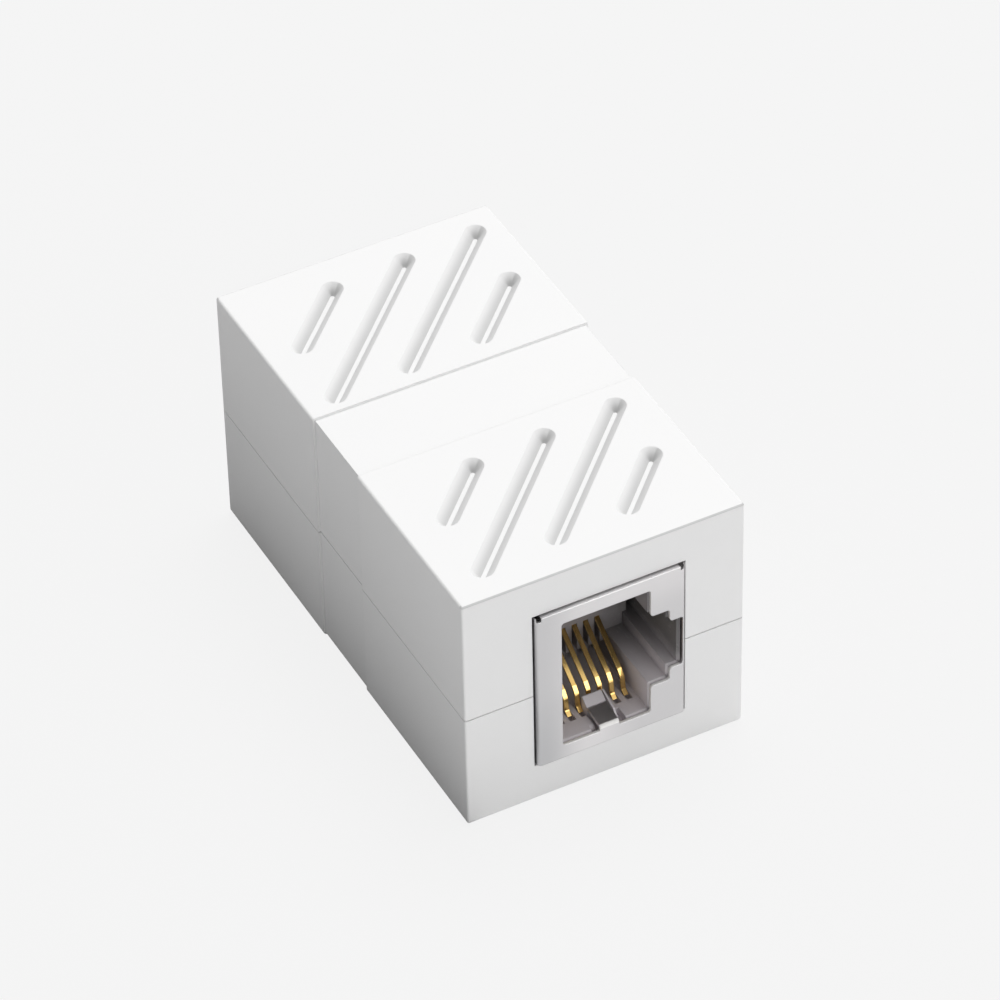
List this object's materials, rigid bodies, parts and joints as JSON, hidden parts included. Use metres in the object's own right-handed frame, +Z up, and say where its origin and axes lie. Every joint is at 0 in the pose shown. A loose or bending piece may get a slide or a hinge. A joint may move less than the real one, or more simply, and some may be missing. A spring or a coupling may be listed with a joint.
{
  "type": "rj45 inline coupler",
  "caption": "Small oblong in-line coupler for two modular network plugs: clamshell casing with a grooved roof, a shielded socket with sprung contacts in each end, and a circuit board inside.",
  "frame": {"origin": "middle of the base, at the height the coupler rests on", "axes": "+Z up, -Y out of the front port, +X to the front port's latch side"},
  "size_m": [0.0228, 0.0402, 0.0213],
  "materials": {
    "upper_shell": "fine satin moulded",
    "lower_shell": "fine satin moulded",
    "circuit_board": "solder resist over glass laminate",
    "shield": "nickel plated, satin",
    "insert": "moulded grey",
    "contact_carrier": "moulded grey",
    "contact": "gold flashed spring strip"
  },
  "bodies": {
    "root": {"upper_shell": "upper_shell", "lower_shell": "lower_shell", "circuit_board": "circuit_board", "front_shield": "shield", "front_insert": "insert", "front_contact_carrier": "contact_carrier", "front_contact_1": "contact", "front_contact_2": "contact", "front_contact_3": "contact", "front_contact_4": "contact", "front_contact_5": "contact", "front_contact_6": "contact", "front_contact_7": "contact", "front_contact_8": "contact", "rear_shield": "shield", "rear_insert": "insert", "rear_contact_carrier": "contact_carrier", "rear_contact_1": "contact", "rear_contact_2": "contact", "rear_contact_3": "contact", "rear_contact_4": "contact", "rear_contact_5": "contact", "rear_contact_6": "contact", "rear_contact_7": "contact", "rear_contact_8": "contact"}
  },
  "joints": []
}
